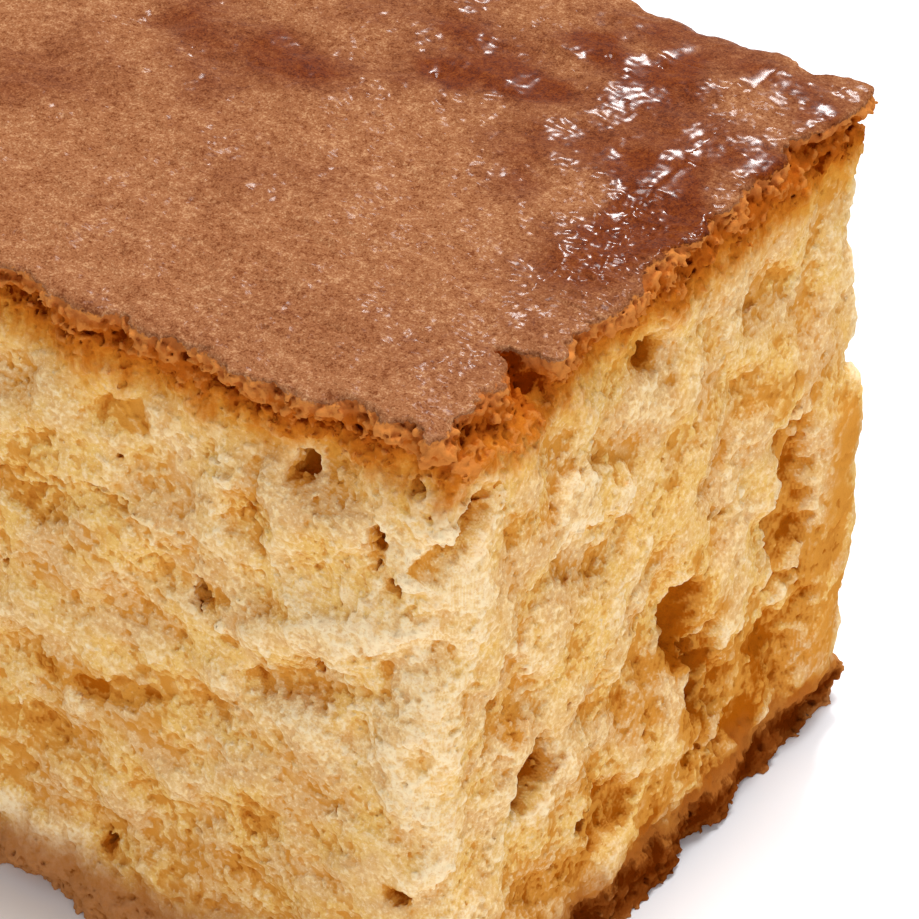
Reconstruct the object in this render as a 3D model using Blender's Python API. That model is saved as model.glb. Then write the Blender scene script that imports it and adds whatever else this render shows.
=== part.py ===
# Square-cut piece of orange sponge cake: one block of crumb with its baked crust on top.
# Metres, +Z up. The origin is under the middle of the piece, on the surface it rests on.
# +X runs along the longer side. The near corner, where the crust is chipped, is at +X and -Y.

import math
import random

import bmesh
import bpy
from mathutils import Vector, noise

MM = 0.001

# Overall size: the block's envelope, which the crust's rim and the bulges just reach
LENGTH = 62.0 * MM
WIDTH = 45.0 * MM
HEIGHT = 46.5 * MM

# The near vertical edge as the knife cut it, from which every place on a side is measured
EDGE_X = 30.0 * MM
EDGE_Y = -21.9 * MM

# Crust on top
CRUST_BAND = 2.9 * MM
CRUST_STEP = 0.7 * MM
CRUST_OVERHANG = 0.75 * MM
RIM_RAG = 0.5 * MM
DOME_FALL = 0.5 * MM
WAVE_HEIGHT = 0.35 * MM
WAVE_LENGTH = 9.0 * MM

# Base crust, the browned bottom few millimetres
BASE_BAND = 1.9 * MM
BASE_RIM = 0.6 * MM

# Crumb on the cut sides
CRUMB_WAVE = 0.55 * MM
CRUMB_WAVE_LENGTH = 10.0 * MM
CRUMB_CRAG = 0.5 * MM
CRUMB_CRAG_LENGTH = 3.2 * MM
CORNER_RADIUS = 2.4 * MM
SIDE_CLEARANCE = 0.45 * MM
TEAR_RAG = 0.22

# Chipped corner, where the skin broke away and the baked layer under it shows
CHIP_LENGTH = 10.6 * MM
CHIP_FRONT = 1.4 * MM
CHIP_FRONT_DEPTH = 0.9 * MM
CHIP_HEIGHT = 4.6 * MM
CHIP_DEPTH = 2.1 * MM
CHIP_PIT = (9.4 * MM, 1.5 * MM)

# How far into the block a side's relief moves the points behind it
SIDE_REACH = 9.0 * MM
TOP_REACH = 12.0 * MM

# Rows of points: cells are small by the near corner and the crust, and larger away from them
ROWS_X = (30, 1.1 * MM)
ROWS_Y = (24, 1.2 * MM)
ROW_Z = 1.9 * MM
ROW_CRUST = 0.8 * MM
CRUST_ROWS = 6
BASE_ROWS = (0.8 * MM, 1.7 * MM)

SEED = 11


def tear(along, up, half_along, half_up, depth, lean=0.0):
    """A torn hollow on a side, in millimetres; a negative depth is a ledge or a lump that stands out."""
    return {
        "along": along * MM,
        "up": up * MM,
        "half_along": half_along * MM,
        "half_up": half_up * MM,
        "depth": depth * MM,
        "lean": lean,
    }


# Along is the distance from the near vertical edge, up is the height above the base
FRONT_TEARS = [
    tear(8.6, 25.4, 5.4, 1.8, 1.3, lean=-0.42),
    tear(9.2, 28.9, 6.2, 1.6, -0.7, lean=-0.42),
    tear(13.2, 35.8, 1.9, 3.4, 0.8, lean=-0.15),
    tear(23.4, 18.2, 3.6, 1.1, 1.0, lean=-0.26),
    tear(22.0, 38.5, 1.8, 1.4, 0.8),
    tear(17.0, 28.4, 1.5, 1.2, 0.6),
    tear(13.6, 13.4, 1.6, 2.2, 0.7),
    tear(4.3, 36.4, 1.5, 2.2, 0.7),
    tear(1.6, 40.0, 1.8, 1.6, -0.6),
    tear(28.5, 30.5, 3.0, 2.0, 0.7),
    tear(38.5, 24.0, 4.6, 2.0, 1.4, lean=0.2),
    tear(39.0, 27.6, 4.8, 1.5, -0.6, lean=0.2),
    tear(47.5, 33.5, 2.4, 3.0, 1.0),
    tear(51.0, 14.0, 3.2, 1.6, 1.2),
    tear(32.0, 9.5, 2.2, 1.5, 0.7),
    tear(8.2, 22.8, 4.8, 2.8, 0.5, lean=-0.42),
]

RIGHT_TEARS = [
    tear(24.7, 18.6, 1.5, 3.1, 2.2),
    tear(26.7, 13.0, 1.8, 3.3, 2.2),
    tear(36.4, 20.5, 2.3, 7.4, 1.6, lean=0.1),
    tear(33.0, 10.0, 6.5, 5.0, 0.9),
    tear(9.1, 17.3, 2.2, 2.6, 2.6),
    tear(2.4, 37.9, 3.0, 1.2, 1.5, lean=0.8),
    tear(14.6, 33.4, 4.2, 2.1, -0.95, lean=-0.35),
    tear(13.6, 29.4, 4.0, 1.5, 1.0, lean=-0.35),
    tear(20.0, 23.2, 1.5, 1.3, -0.5),
    tear(21.3, 39.2, 1.6, 1.4, 1.2),
    tear(6.6, 24.6, 2.2, 3.4, 0.9),
    tear(17.0, 9.0, 3.0, 2.2, 0.9),
]

# Small pores cut right into the crumb: along, up, half width, half height and depth in millimetres
FRONT_PORES = [
    (10.0, 39.3, 0.8, 0.9, 2.2),
    (2.6, 41.2, 0.4, 0.55, 1.4),
    (4.8, 37.0, 0.45, 1.3, 1.8),
    (3.8, 34.3, 0.5, 0.7, 1.6),
    (17.2, 27.9, 0.6, 0.7, 1.8),
    (25.0, 5.4, 0.6, 0.8, 1.5),
    (3.2, 12.8, 0.7, 0.6, 1.5),
    (44.0, 12.5, 0.8, 0.7, 1.8),
    (34.0, 36.0, 0.7, 0.9, 1.8),
]
RIGHT_PORES = [
    (21.4, 39.4, 0.7, 0.8, 2.0),
    (9.3, 17.6, 1.0, 1.5, 2.6),
    (26.6, 13.2, 0.9, 1.5, 2.2),
    (14.0, 10.5, 0.6, 0.8, 1.6),
]

# The two hidden sides are torn like the two that show
HIDDEN_TEARS = 13
HIDDEN_PORES = 6

# Bulge low on the far end of the right side and of the back
BULGE_HEIGHT = 19.0 * MM
BULGE_HALF = 13.0 * MM
BULGE_OUT = 0.95 * MM
BACK_SETBACK = 0.23 * MM
BULGE_REACH = 12.0 * MM

# How far the far right vertical edge stands out of its rounding, by height
FAR_EDGE_REACH = 3.2 * MM
FAR_EDGE_PROFILE = [
    (0.0 * MM, 1.3 * MM),
    (2.2 * MM, 1.3 * MM),
    (4.4 * MM, -1.2 * MM),
    (7.0 * MM, 0.7 * MM),
    (12.0 * MM, 1.1 * MM),
    (22.0 * MM, 1.3 * MM),
    (26.7 * MM, 1.5 * MM),
    (30.0 * MM, 1.2 * MM),
    (33.5 * MM, -0.1 * MM),
    (36.5 * MM, -0.3 * MM),
    (39.0 * MM, 0.5 * MM),
    (41.5 * MM, 1.3 * MM),
    (43.6 * MM, 0.7 * MM),
    (46.5 * MM, 0.6 * MM),
]

# The near vertical edge, where the torn crumb came away
NEAR_EDGE_WORN = 0.5 * MM
NEAR_EDGE_WAVE_LENGTH = 2.2 * MM
NEAR_EDGE_REACH = 4.2 * MM

# The foot of the right side draws in towards the near edge
FOOT_INSET = 1.1 * MM
FOOT_LENGTH = 14.0 * MM
FOOT_HEIGHT = 6.5 * MM

CRUMB_COLOR = (0.70, 0.43, 0.17, 1.0)
CRUST_COLOR = (0.36, 0.135, 0.05, 1.0)
BASE_COLOR = (0.40, 0.17, 0.05, 1.0)


def ease(x):
    """0 below 0, 1 above 1, and a smooth rise between."""
    x = min(1.0, max(0.0, x))
    return x * x * (3.0 - 2.0 * x)


def read_table(table, place):
    """The value at a place, on straight lines between a table's rows."""
    for (low, first), (high, second) in zip(table, table[1:]):
        if place <= high:
            return first + (second - first) * max(0.0, place - low) / (high - low)
    return table[-1][1]


def rough(a, b, length, seed):
    """Smooth noise of a given wavelength on a side, from about -1 to 1."""
    return 1.6 * noise.noise(Vector((a / length, b / length, seed * 7.3)))


def hidden_side(side_length, seed):
    """Tears and pores for a side that is out of sight, spread evenly with a seeded draw."""
    draw = random.Random(SEED + seed)
    tears = []
    for k in range(HIDDEN_TEARS):
        along = side_length * (k + 0.5 + draw.uniform(-0.3, 0.3)) / HIDDEN_TEARS
        up = draw.uniform(7.0, 38.0)
        wide = draw.uniform(1.6, 4.6)
        tall = draw.uniform(1.2, 3.6)
        depth = draw.choice((1.0, 1.4, 2.0, -0.6))
        tears.append(tear(along / MM, up, wide, tall, depth, lean=draw.uniform(-0.3, 0.3)))
    pores = []
    for k in range(HIDDEN_PORES):
        along = side_length * (k + 0.5) / HIDDEN_PORES / MM
        pores.append((along, draw.uniform(8.0, 38.0), 0.7, draw.uniform(0.7, 1.1), 2.0))
    return tears, pores


BACK_TEARS, BACK_PORES = hidden_side(LENGTH, 1)
FAR_TEARS, FAR_PORES = hidden_side(WIDTH, 2)

# Each side: the axis it faces along, its sign, how a point's along distance is read, and its relief
SIDES = {
    "front": {"axis": 1, "sign": -1, "start": EDGE_X, "step": -1, "tears": FRONT_TEARS, "pores": FRONT_PORES},
    "right": {"axis": 0, "sign": 1, "start": EDGE_Y, "step": 1, "tears": RIGHT_TEARS, "pores": RIGHT_PORES},
    "back": {"axis": 1, "sign": 1, "start": EDGE_X, "step": -1, "tears": BACK_TEARS, "pores": BACK_PORES},
    "far": {"axis": 0, "sign": -1, "start": EDGE_Y, "step": 1, "tears": FAR_TEARS, "pores": FAR_PORES},
}


def torn(spot, along, up, seed):
    """How far one tear moves a point in, with a ragged rim and a fairly flat floor."""
    da = along - spot["along"]
    du = up - spot["up"] - spot["lean"] * da
    reach = math.hypot(da / spot["half_along"], du / spot["half_up"])
    reach += TEAR_RAG * rough(along, up, 1.8 * MM, seed)
    return spot["depth"] * ease((1.15 - reach) / 0.55)


def chip(along, up):
    """The chamfer that the broken skin leaves along the first stretch of the right side."""
    ragged = 0.7 * MM * rough(along, up, 2.4 * MM, 5)
    length = ease((CHIP_LENGTH + ragged - along) / (0.9 * MM))
    height = (up - (HEIGHT - CHIP_HEIGHT)) / CHIP_HEIGHT
    slope = ease(height * 1.4) + 0.18 * rough(along, up, 1.7 * MM, 6)
    pit_along, pit_deep = CHIP_PIT
    pit = pit_deep * ease(1.0 - abs(along - pit_along) / (1.5 * MM)) * ease(height * 1.6)
    return length * ease(height * 3.0) * (CHIP_DEPTH * slope + pit)


def bulge(side, along, up):
    """How far a side stands back from the envelope, less where the crumb bulges at the far right edge."""
    swell = ease(1.0 - abs(up - BULGE_HEIGHT) / BULGE_HALF)
    if side == "back":
        near_end = ease(1.0 - along / BULGE_REACH)
        return BACK_SETBACK - BULGE_OUT * swell * near_end
    if side == "right":
        far_end = ease((along - (WIDTH - BULGE_REACH)) / (0.7 * BULGE_REACH))
        return -BULGE_OUT * swell * far_end
    return 0.0


def far_edge(side, along, up):
    """How far the far right vertical edge stands out of its rounding."""
    if side not in ("right", "back"):
        return 0.0
    to_edge = WIDTH - along if side == "right" else along
    return read_table(FAR_EDGE_PROFILE, up) * ease(1.0 - to_edge / FAR_EDGE_REACH)


def near_edge(side, along, up, seed):
    """How much crumb is torn off along the near vertical edge."""
    if side not in ("front", "right"):
        return 0.0
    worn = NEAR_EDGE_WORN * max(0.0, 1.0 + rough(along, up, NEAR_EDGE_WAVE_LENGTH, seed))
    return worn * ease(1.0 - along / NEAR_EDGE_REACH)


def foot(side, along, up):
    """How far the foot of the right side draws in."""
    if side != "right":
        return 0.0
    return FOOT_INSET * ease(1.0 - along / FOOT_LENGTH) * ease((FOOT_HEIGHT - up) / (0.7 * FOOT_HEIGHT))


def setback(side, along, up):
    """How far a point on a side lies inside the envelope."""
    seed = list(SIDES).index(side) + 1
    spots = SIDES[side]["tears"]
    width = LENGTH if SIDES[side]["axis"] == 1 else WIDTH

    rag = RIM_RAG * rough(along, 0.0, 2.3 * MM, seed) + 0.6 * RIM_RAG * rough(along, 1.0, 6.5 * MM, seed)
    band_foot = HEIGHT - CRUST_BAND + 0.5 * MM * rough(along, 2.0, 3.0 * MM, seed)
    in_crust = ease((up - band_foot) / CRUST_STEP)
    in_base = ease((BASE_BAND + rag - up) / (0.8 * MM))

    crumb = CRUMB_WAVE * rough(along, up, CRUMB_WAVE_LENGTH, seed)
    crumb += CRUMB_CRAG * rough(along, up, CRUMB_CRAG_LENGTH, seed + 10)
    crumb += sum(torn(spot, along, up, seed + 20 + k) for k, spot in enumerate(spots))
    crumb += CRUST_OVERHANG * (1.0 - 0.5 * ease((HEIGHT - CRUST_BAND - up) / (7.0 * MM)))
    crumb += near_edge(side, along, up, seed + 60)
    crumb = crumb * (1.0 - in_base) + BASE_RIM * in_base

    depth = crumb * (1.0 - in_crust) + (0.35 * RIM_RAG + rag) * in_crust
    if side == "right":
        depth += chip(along, up)
    if side == "front":
        first = ease((CHIP_FRONT - along) / (1.2 * MM))
        depth += first * ease((up - (HEIGHT - CHIP_HEIGHT)) / CHIP_HEIGHT) * CHIP_FRONT_DEPTH
    depth += SIDE_CLEARANCE + bulge(side, along, up) + foot(side, along, up) - far_edge(side, along, up)

    ends = min(along + 1.0 * MM, width - along)
    depth += 0.55 * CORNER_RADIUS * max(0.0, 1.0 - ends / CORNER_RADIUS) ** 2 * (1.0 - 0.6 * in_crust)
    return max(0.0, depth)


def top_drop(x, y):
    """How far the crust lies below the envelope's top: a low dome with soft waves and a wet dip."""
    away = max(abs(x) / (LENGTH / 2), abs(y) / (WIDTH / 2))
    drop = DOME_FALL * away ** 3
    drop += WAVE_HEIGHT * (1.0 + rough(x, y, WAVE_LENGTH, 41)) / 2.0
    drop += 0.12 * MM * (1.0 + rough(x, y, 2.6 * MM, 42))
    dip_x = (x - (EDGE_X - 3.4 * MM)) / (3.0 * MM)
    dip_y = (y - (EDGE_Y + 24.0 * MM)) / (5.5 * MM)
    drop += 0.35 * MM * ease(1.2 - math.hypot(dip_x, dip_y))
    return max(0.0, drop)


def rows(length, count_and_first):
    """Places across a length where the first cell has a given size and each next one grows a little."""
    count, first = count_and_first
    low, high = 1.0, 1.3
    for _ in range(60):
        growth = (low + high) / 2
        if first * (growth ** count - 1.0) / (growth - 1.0) > length:
            high = growth
        else:
            low = growth
    return [first * (growth ** k - 1.0) / (growth - 1.0) for k in range(1, count)]


def upright_rows():
    """Heights of the rows: close together at the base and in the crust."""
    crust_foot = HEIGHT - CRUST_ROWS * ROW_CRUST
    count = round((crust_foot - BASE_ROWS[1]) / ROW_Z)
    step = (crust_foot - BASE_ROWS[1]) / count
    middle = [BASE_ROWS[1] + k * step for k in range(1, count + 1)]
    crust = [crust_foot + k * ROW_CRUST for k in range(1, CRUST_ROWS)]
    return list(BASE_ROWS) + middle + crust


def cut_block():
    """A box of the envelope's size, cut into rows by planes along its three axes."""
    block = bmesh.new()
    bmesh.ops.create_cube(block, size=1.0)
    bmesh.ops.scale(block, vec=(LENGTH, WIDTH, HEIGHT), verts=block.verts)
    bmesh.ops.translate(block, vec=(0.0, 0.0, HEIGHT / 2), verts=block.verts)
    planes = [(0, LENGTH / 2 - place) for place in rows(LENGTH, ROWS_X)]
    planes += [(1, place - WIDTH / 2) for place in rows(WIDTH, ROWS_Y)]
    planes += [(2, place) for place in upright_rows()]
    for axis, place in planes:
        normal = Vector((0.0, 0.0, 0.0))
        normal[axis] = 1.0
        everything = block.verts[:] + block.edges[:] + block.faces[:]
        bmesh.ops.bisect_plane(block, geom=everything, dist=1e-7, plane_co=normal * place, plane_no=normal)
    return block


def shape_block(block):
    """Moves the points of the box in by each side's setback and down by the crust's waves."""
    half = (LENGTH / 2, WIDTH / 2)
    for point in block.verts:
        place = point.co.copy()
        for side, face in SIDES.items():
            axis, sign = face["axis"], face["sign"]
            inside = half[axis] - sign * place[axis]
            share = 1.0 - ease(inside / SIDE_REACH)
            if share > 0.0:
                along = (place[1 - axis] - face["start"]) * face["step"]
                point.co[axis] -= sign * share * setback(side, along, place.z)
        share = ease((place.z - (HEIGHT - TOP_REACH)) / TOP_REACH)
        point.co.z -= share * top_drop(place.x, place.y)


def merge_base(block):
    """The base is one flat face."""
    flat = [face for face in block.faces if face.normal.z < -0.5 and face.calc_center_median().z < 1e-6]
    bmesh.ops.dissolve_faces(block, faces=flat)


def new_material(name, color, roughness):
    """A matte food material."""
    material = bpy.data.materials.new(name)
    material.use_nodes = True
    shader = material.node_tree.nodes["Principled BSDF"]
    shader.inputs["Base Color"].default_value = color
    shader.inputs["Roughness"].default_value = roughness
    shader.inputs["Metallic"].default_value = 0.0
    material.diffuse_color = color
    return material


def paint(block):
    """Crumb is slot 0, crust slot 1 and the browned base slot 2."""
    for face in block.faces:
        middle = face.calc_center_median()
        if middle.z > HEIGHT - CRUST_BAND:
            face.material_index = 1
        elif middle.z < BASE_BAND:
            face.material_index = 2


def cut_pores(cake, cutters):
    """Each pore is a small egg-shaped cutter set into its side."""
    half = (LENGTH / 2, WIDTH / 2)
    for side, face in SIDES.items():
        axis, sign = face["axis"], face["sign"]
        for k, (along, up, half_along, half_up, depth) in enumerate(face["pores"]):
            egg = bmesh.new()
            bmesh.ops.create_icosphere(egg, subdivisions=2, radius=1.0)
            size = Vector((half_along, half_along, half_up)) * MM
            size[axis] = depth * MM
            bmesh.ops.scale(egg, vec=size, verts=egg.verts)
            place = Vector((0.0, 0.0, up * MM))
            place[axis] = sign * (half[axis] - setback(side, along * MM, up * MM) - 0.15 * depth * MM)
            place[1 - axis] = face["start"] + face["step"] * along * MM
            mesh = bpy.data.meshes.new(f"pore_{side}_{k + 1}")
            egg.to_mesh(mesh)
            egg.free()
            cutter = bpy.data.objects.new(mesh.name, mesh)
            cutter.location = place
            cutter.hide_render = True
            cutter.display_type = "WIRE"
            cutters.objects.link(cutter)
    cut = cake.modifiers.new("pores", "BOOLEAN")
    cut.operation = "DIFFERENCE"
    cut.operand_type = "COLLECTION"
    cut.collection = cutters
    cut.solver = "EXACT"


def make_cake():
    """One solid block, as the uncut inside of the piece has no parts."""
    block = cut_block()
    shape_block(block)
    block.normal_update()
    merge_base(block)
    block.normal_update()
    paint(block)
    mesh = bpy.data.meshes.new("sponge_cake")
    block.to_mesh(mesh)
    block.free()
    mesh.shade_smooth()
    mesh.materials.append(new_material("sponge crumb", CRUMB_COLOR, 0.85))
    mesh.materials.append(new_material("top crust", CRUST_COLOR, 0.55))
    mesh.materials.append(new_material("base crust", BASE_COLOR, 0.75))
    return bpy.data.objects.new("sponge_cake", mesh)


def main():
    for old in list(bpy.data.objects):
        bpy.data.objects.remove(old, do_unlink=True)

    model = bpy.data.collections.new("orange_sponge_cake")
    cutters = bpy.data.collections.new("cutters")
    bpy.context.scene.collection.children.link(model)
    bpy.context.scene.collection.children.link(cutters)

    cake = make_cake()
    model.objects.link(cake)
    cut_pores(cake, cutters)


main()
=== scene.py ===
import math
import random
import time

import bmesh
import bpy
import numpy as np
import openvdb
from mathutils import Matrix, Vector, noise


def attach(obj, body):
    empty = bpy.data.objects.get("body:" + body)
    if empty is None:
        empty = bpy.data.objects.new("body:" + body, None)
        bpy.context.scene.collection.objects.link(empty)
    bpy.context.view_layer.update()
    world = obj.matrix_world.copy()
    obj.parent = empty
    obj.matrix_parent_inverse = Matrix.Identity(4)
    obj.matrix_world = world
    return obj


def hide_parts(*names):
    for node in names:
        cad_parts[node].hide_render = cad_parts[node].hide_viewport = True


# One cut block of orange sponge cake, close up: torn crumb on the sides, a thin baked skin on top.
# Sizes are in millimetres until a finished mesh is written in metres.

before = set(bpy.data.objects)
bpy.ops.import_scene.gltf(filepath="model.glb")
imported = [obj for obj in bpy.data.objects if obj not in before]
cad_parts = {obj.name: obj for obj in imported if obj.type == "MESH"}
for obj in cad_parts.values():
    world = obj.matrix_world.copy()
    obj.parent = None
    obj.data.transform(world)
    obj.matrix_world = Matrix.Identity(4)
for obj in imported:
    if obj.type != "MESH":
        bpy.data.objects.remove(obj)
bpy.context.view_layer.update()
started = time.time()


def say(text):
    print(f"{time.time() - started:6.1f} s  {text}", flush=True)


# The block

# The same driving sizes as the solid: its envelope, and the near vertical edge that places are measured from
block = {"length": 62.0, "width": 45.0, "height": 46.5, "edgeX": 30.0, "edgeY": -21.9}

crust = {
    "band": 2.9,             # height of the browned band under the skin
    "step": 0.7,             # height in which it steps out over the crumb
    "overhang": 0.75,
    "rag": 0.5,              # how far its edge wanders
    "domeFall": 0.5,         # how far the top falls away towards its edges
    "waveHeight": 0.35,
    "waveLength": 9.0,
}
base = {"band": 1.9, "rim": 0.6}     # height of the browned base, and how far it lies in
crumb = {
    "inset": 0.45,           # how far every side starts inside the envelope
    "wave": 0.55,            # broad waves of the torn sides
    "waveLength": 10.0,
    "crag": 0.5,             # crags on those waves
    "cragLength": 3.2,
    "cornerRadius": 2.4,
    "shallow": 0.6,          # share of its depth that a tear on the front keeps
}
# The bite out of the crust at the near corner, with the pit at its far end
chipped = {"length": 10.6, "front": 1.4, "height": 4.6, "depth": 2.1, "pitAlong": 9.4, "pitDeep": 1.5}
# The far right corner swells out at mid height, and its outline wanders in and out with height
bulge = {"height": 19.0, "half": 13.0, "out": 0.95, "backSetback": 0.23, "reach": 12.0}
farEdge = {
    "reach": 3.2,
    "ups": (0.0, 2.2, 4.4, 7.0, 12.0, 22.0, 26.7, 30.0, 33.5, 36.5, 39.0, 41.5, 43.6, 46.5),
    "outs": (1.3, 1.3, -1.2, 0.7, 1.1, 1.3, 1.5, 1.2, -0.1, -0.3, 0.5, 1.3, 0.7, 0.6),
}
# The near vertical edge is worn, and the right side's foot is drawn in beside it
nearEdge = {"worn": 0.5, "waveLength": 2.2, "reach": 4.2}
footInset = {"deep": 1.1, "length": 14.0, "height": 6.5}
# A shallow dip in the top, near the middle of the right edge
dip = {"left": 3.4, "back": 24.0, "wide": 3.0, "long": 5.5, "deep": 0.35}
hidden = {"tears": 13, "pores": 6, "seed": 11}     # on each of the two sides that are out of sight

# Torn hollows, and ledges where the depth is negative:
# along from the near edge, up from the base, half length, half height, depth, lean
frontTears = [
    (8.6, 25.4, 5.4, 1.8, 1.3, -0.42),
    (9.2, 28.9, 6.2, 1.6, -0.7, -0.42),
    (13.2, 35.8, 1.9, 3.4, 0.8, -0.15),
    (23.4, 18.2, 3.6, 1.1, 1.0, -0.26),
    (22.0, 38.5, 1.8, 1.4, 0.8, 0.0),
    (17.0, 28.4, 1.5, 1.2, 0.6, 0.0),
    (13.6, 13.4, 1.6, 2.2, 0.7, 0.0),
    (4.3, 36.4, 1.5, 2.2, 0.7, 0.0),
    (1.6, 40.0, 1.8, 1.6, -0.6, 0.0),
    (28.5, 30.5, 3.0, 2.0, 0.7, 0.0),
    (38.5, 24.0, 4.6, 2.0, 1.4, 0.2),
    (39.0, 27.6, 4.8, 1.5, -0.6, 0.2),
    (47.5, 33.5, 2.4, 3.0, 1.0, 0.0),
    (51.0, 14.0, 3.2, 1.6, 1.2, 0.0),
    (32.0, 9.5, 2.2, 1.5, 0.7, 0.0),
    (8.2, 22.8, 4.8, 2.8, 0.5, -0.42),
]
rightTears = [
    (24.7, 18.6, 1.5, 3.1, 1.8, 0.0),
    (26.7, 13.0, 1.8, 3.3, 1.8, 0.0),
    (36.4, 20.5, 2.3, 7.4, 1.6, 0.1),
    (33.0, 10.0, 6.5, 5.0, 0.9, 0.0),
    (9.1, 17.3, 2.2, 2.6, 2.6, 0.0),
    (2.4, 37.9, 3.0, 1.2, 1.5, 0.8),
    (14.6, 33.4, 4.2, 2.1, -0.95, -0.35),
    (13.6, 29.4, 4.0, 1.5, 0.45, -0.35),
    (20.0, 23.2, 1.5, 1.3, -0.5, 0.0),
    (21.3, 39.2, 1.6, 1.4, 1.2, 0.0),
    (6.6, 24.6, 2.2, 3.4, 0.9, 0.0),
    (17.0, 9.0, 3.0, 2.2, 0.9, 0.0),
]
# Pores: along, up, half width, half height, depth
frontPores = [
    (10.0, 39.3, 0.8, 0.9, 2.2),
    (2.6, 41.2, 0.4, 0.55, 1.4),
    (4.8, 37.0, 0.45, 1.3, 1.8),
    (3.8, 34.3, 0.5, 0.7, 1.6),
    (17.2, 27.9, 0.6, 0.7, 1.8),
    (25.0, 5.4, 0.6, 0.8, 1.5),
    (3.2, 12.8, 0.7, 0.6, 1.5),
    (44.0, 12.5, 0.8, 0.7, 1.8),
    (34.0, 36.0, 0.7, 0.9, 1.8),
]
rightPores = [
    (21.4, 39.4, 0.7, 0.8, 2.0),
    (9.3, 17.6, 1.0, 1.5, 2.6),
    (26.6, 13.2, 0.9, 1.5, 2.2),
    (14.0, 10.5, 0.6, 0.8, 1.6),
]


def hiddenSide(sideLength, seed):
    # the two sides that are out of sight get the same kinds of tear, by the solid's own seeded draw
    draw = random.Random(hidden["seed"] + seed)
    tears = []
    for k in range(hidden["tears"]):
        along = sideLength * (k + 0.5 + draw.uniform(-0.3, 0.3)) / hidden["tears"]
        up = draw.uniform(7.0, 38.0)
        wide = draw.uniform(1.6, 4.6)
        tall = draw.uniform(1.2, 3.6)
        depth = draw.choice((1.0, 1.4, 2.0, -0.6))
        tears.append((along, up, wide, tall, depth, draw.uniform(-0.3, 0.3)))
    pores = []
    for k in range(hidden["pores"]):
        along = sideLength * (k + 0.5) / hidden["pores"]
        pores.append((along, draw.uniform(8.0, 38.0), 0.7, draw.uniform(0.7, 1.1), 2.0))
    return tears, pores


backTears, backPores = hiddenSide(block["length"], 1)
farTears, farPores = hiddenSide(block["width"], 2)

# Each side: the axis it faces along, its sign, where along starts, which way it runs, and its relief
sides = {}
for name, axis, sign, tears, pores in (
    ("front", 1, -1, frontTears, frontPores), ("right", 0, 1, rightTears, rightPores),
    ("back", 1, 1, backTears, backPores), ("far", 0, -1, farTears, farPores),
):
    start, step = (block["edgeX"], -1) if axis == 1 else (block["edgeY"], 1)
    sides[name] = {"axis": axis, "sign": sign, "start": start, "step": step, "tears": tears, "pores": pores}
sideNames = list(sides)
half = (block["length"] / 2, block["width"] / 2)


def ease(x):
    x = np.clip(x, 0.0, 1.0)
    return x * x * (3.0 - 2.0 * x)


def rough(a, b, length, seed):
    # the solid's smooth noise, on every pair of the places a and b
    c = seed * 7.3
    rows = [[noise.noise(Vector((u / length, v / length, c))) for v in b] for u in a]
    return 1.6 * np.array(rows, dtype=np.float32)


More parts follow.
